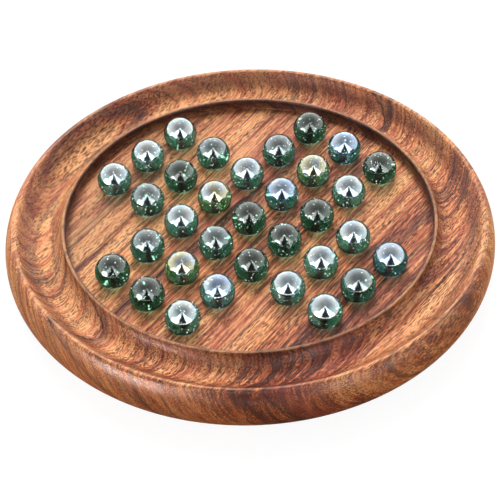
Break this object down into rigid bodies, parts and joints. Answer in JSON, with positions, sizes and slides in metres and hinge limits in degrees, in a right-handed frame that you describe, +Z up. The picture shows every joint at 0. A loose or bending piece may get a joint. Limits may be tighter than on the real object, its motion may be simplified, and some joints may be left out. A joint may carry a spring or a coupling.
{
  "type": "marble solitaire board",
  "caption": "Round turned hardwood board with a cross of cups holding loose clear green glass marbles, and a rim channel for captured ones.",
  "frame": {"origin": "centre of the board's flat underside", "axes": "+Z up out of the playing field, +X along the cross's files from a to g, +Y along its rows from 1 to 7"},
  "size_m": [0.2286, 0.2286, 0.0325],
  "materials": {
    "rosewood": "turned rosewood, oiled and waxed to a satin sheen",
    "green_glass": "clear pale green glass with small bubbles and a thin lustre"
  },
  "bodies": {
    "board": {"board": "rosewood"},
    "marble_c1": {"marble_c1": "green_glass"},
    "marble_d1": {"marble_d1": "green_glass"},
    "marble_e1": {"marble_e1": "green_glass"},
    "marble_c2": {"marble_c2": "green_glass"},
    "marble_d2": {"marble_d2": "green_glass"},
    "marble_e2": {"marble_e2": "green_glass"},
    "marble_a3": {"marble_a3": "green_glass"},
    "marble_b3": {"marble_b3": "green_glass"},
    "marble_c3": {"marble_c3": "green_glass"},
    "marble_d3": {"marble_d3": "green_glass"},
    "marble_e3": {"marble_e3": "green_glass"},
    "marble_f3": {"marble_f3": "green_glass"},
    "marble_g3": {"marble_g3": "green_glass"},
    "marble_a4": {"marble_a4": "green_glass"},
    "marble_b4": {"marble_b4": "green_glass"},
    "marble_c4": {"marble_c4": "green_glass"},
    "marble_d4": {"marble_d4": "green_glass"},
    "marble_e4": {"marble_e4": "green_glass"},
    "marble_f4": {"marble_f4": "green_glass"},
    "marble_g4": {"marble_g4": "green_glass"},
    "marble_a5": {"marble_a5": "green_glass"},
    "marble_b5": {"marble_b5": "green_glass"},
    "marble_c5": {"marble_c5": "green_glass"},
    "marble_d5": {"marble_d5": "green_glass"},
    "marble_e5": {"marble_e5": "green_glass"},
    "marble_f5": {"marble_f5": "green_glass"},
    "marble_g5": {"marble_g5": "green_glass"},
    "marble_c6": {"marble_c6": "green_glass"},
    "marble_d6": {"marble_d6": "green_glass"},
    "marble_e6": {"marble_e6": "green_glass"},
    "marble_c7": {"marble_c7": "green_glass"},
    "marble_d7": {"marble_d7": "green_glass"},
    "marble_e7": {"marble_e7": "green_glass"}
  },
  "joints": [
    {"name": "lift_c1", "type": "slide", "parent": "board", "child": "marble_c1", "axis": [0, 0, 1], "range_m": [0, 0.03]},
    {"name": "lift_d1", "type": "slide", "parent": "board", "child": "marble_d1", "axis": [0, 0, 1], "range_m": [0, 0.03]},
    {"name": "lift_e1", "type": "slide", "parent": "board", "child": "marble_e1", "axis": [0, 0, 1], "range_m": [0, 0.03]},
    {"name": "lift_c2", "type": "slide", "parent": "board", "child": "marble_c2", "axis": [0, 0, 1], "range_m": [0, 0.03]},
    {"name": "lift_d2", "type": "slide", "parent": "board", "child": "marble_d2", "axis": [0, 0, 1], "range_m": [0, 0.03]},
    {"name": "lift_e2", "type": "slide", "parent": "board", "child": "marble_e2", "axis": [0, 0, 1], "range_m": [0, 0.03]},
    {"name": "lift_a3", "type": "slide", "parent": "board", "child": "marble_a3", "axis": [0, 0, 1], "range_m": [0, 0.03]},
    {"name": "lift_b3", "type": "slide", "parent": "board", "child": "marble_b3", "axis": [0, 0, 1], "range_m": [0, 0.03]},
    {"name": "lift_c3", "type": "slide", "parent": "board", "child": "marble_c3", "axis": [0, 0, 1], "range_m": [0, 0.03]},
    {"name": "lift_d3", "type": "slide", "parent": "board", "child": "marble_d3", "axis": [0, 0, 1], "range_m": [0, 0.03]},
    {"name": "lift_e3", "type": "slide", "parent": "board", "child": "marble_e3", "axis": [0, 0, 1], "range_m": [0, 0.03]},
    {"name": "lift_f3", "type": "slide", "parent": "board", "child": "marble_f3", "axis": [0, 0, 1], "range_m": [0, 0.03]},
    {"name": "lift_g3", "type": "slide", "parent": "board", "child": "marble_g3", "axis": [0, 0, 1], "range_m": [0, 0.03]},
    {"name": "lift_a4", "type": "slide", "parent": "board", "child": "marble_a4", "axis": [0, 0, 1], "range_m": [0, 0.03]},
    {"name": "lift_b4", "type": "slide", "parent": "board", "child": "marble_b4", "axis": [0, 0, 1], "range_m": [0, 0.03]},
    {"name": "lift_c4", "type": "slide", "parent": "board", "child": "marble_c4", "axis": [0, 0, 1], "range_m": [0, 0.03]},
    {"name": "lift_d4", "type": "slide", "parent": "board", "child": "marble_d4", "axis": [0, 0, 1], "range_m": [0, 0.03]},
    {"name": "lift_e4", "type": "slide", "parent": "board", "child": "marble_e4", "axis": [0, 0, 1], "range_m": [0, 0.03]},
    {"name": "lift_f4", "type": "slide", "parent": "board", "child": "marble_f4", "axis": [0, 0, 1], "range_m": [0, 0.03]},
    {"name": "lift_g4", "type": "slide", "parent": "board", "child": "marble_g4", "axis": [0, 0, 1], "range_m": [0, 0.03]},
    {"name": "lift_a5", "type": "slide", "parent": "board", "child": "marble_a5", "axis": [0, 0, 1], "range_m": [0, 0.03]},
    {"name": "lift_b5", "type": "slide", "parent": "board", "child": "marble_b5", "axis": [0, 0, 1], "range_m": [0, 0.03]},
    {"name": "lift_c5", "type": "slide", "parent": "board", "child": "marble_c5", "axis": [0, 0, 1], "range_m": [0, 0.03]},
    {"name": "lift_d5", "type": "slide", "parent": "board", "child": "marble_d5", "axis": [0, 0, 1], "range_m": [0, 0.03]},
    {"name": "lift_e5", "type": "slide", "parent": "board", "child": "marble_e5", "axis": [0, 0, 1], "range_m": [0, 0.03]},
    {"name": "lift_f5", "type": "slide", "parent": "board", "child": "marble_f5", "axis": [0, 0, 1], "range_m": [0, 0.03]},
    {"name": "lift_g5", "type": "slide", "parent": "board", "child": "marble_g5", "axis": [0, 0, 1], "range_m": [0, 0.03]},
    {"name": "lift_c6", "type": "slide", "parent": "board", "child": "marble_c6", "axis": [0, 0, 1], "range_m": [0, 0.03]},
    {"name": "lift_d6", "type": "slide", "parent": "board", "child": "marble_d6", "axis": [0, 0, 1], "range_m": [0, 0.03]},
    {"name": "lift_e6", "type": "slide", "parent": "board", "child": "marble_e6", "axis": [0, 0, 1], "range_m": [0, 0.03]},
    {"name": "lift_c7", "type": "slide", "parent": "board", "child": "marble_c7", "axis": [0, 0, 1], "range_m": [0, 0.03]},
    {"name": "lift_d7", "type": "slide", "parent": "board", "child": "marble_d7", "axis": [0, 0, 1], "range_m": [0, 0.03]},
    {"name": "lift_e7", "type": "slide", "parent": "board", "child": "marble_e7", "axis": [0, 0, 1], "range_m": [0, 0.03]}
  ]
}
